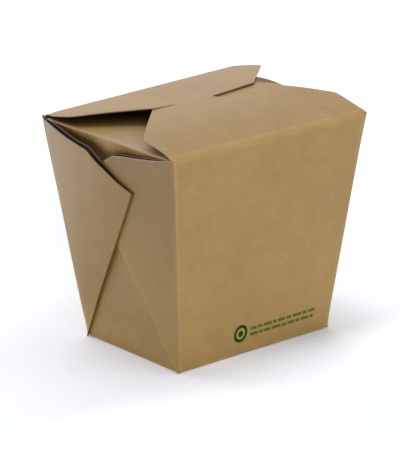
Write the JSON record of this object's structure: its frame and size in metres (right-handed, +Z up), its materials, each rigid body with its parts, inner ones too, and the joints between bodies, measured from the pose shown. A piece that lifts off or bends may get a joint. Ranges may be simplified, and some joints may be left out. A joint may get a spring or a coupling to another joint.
{
  "type": "noodle takeaway box",
  "caption": "Closed folded-board takeaway pail with tapered sides, lapped corner gussets and two top flaps locked along a low ridge.",
  "frame": {"origin": "centre of the base, on the surface it stands on", "axes": "+Z up, +X to the right along the wide front panel, +Y towards the back panel"},
  "size_m": [0.1124, 0.0912, 0.1105],
  "materials": {
    "kraft_board": "uncoated brown kraft, matt"
  },
  "bodies": {
    "root": {"noodle_box": "kraft_board"}
  },
  "joints": []
}
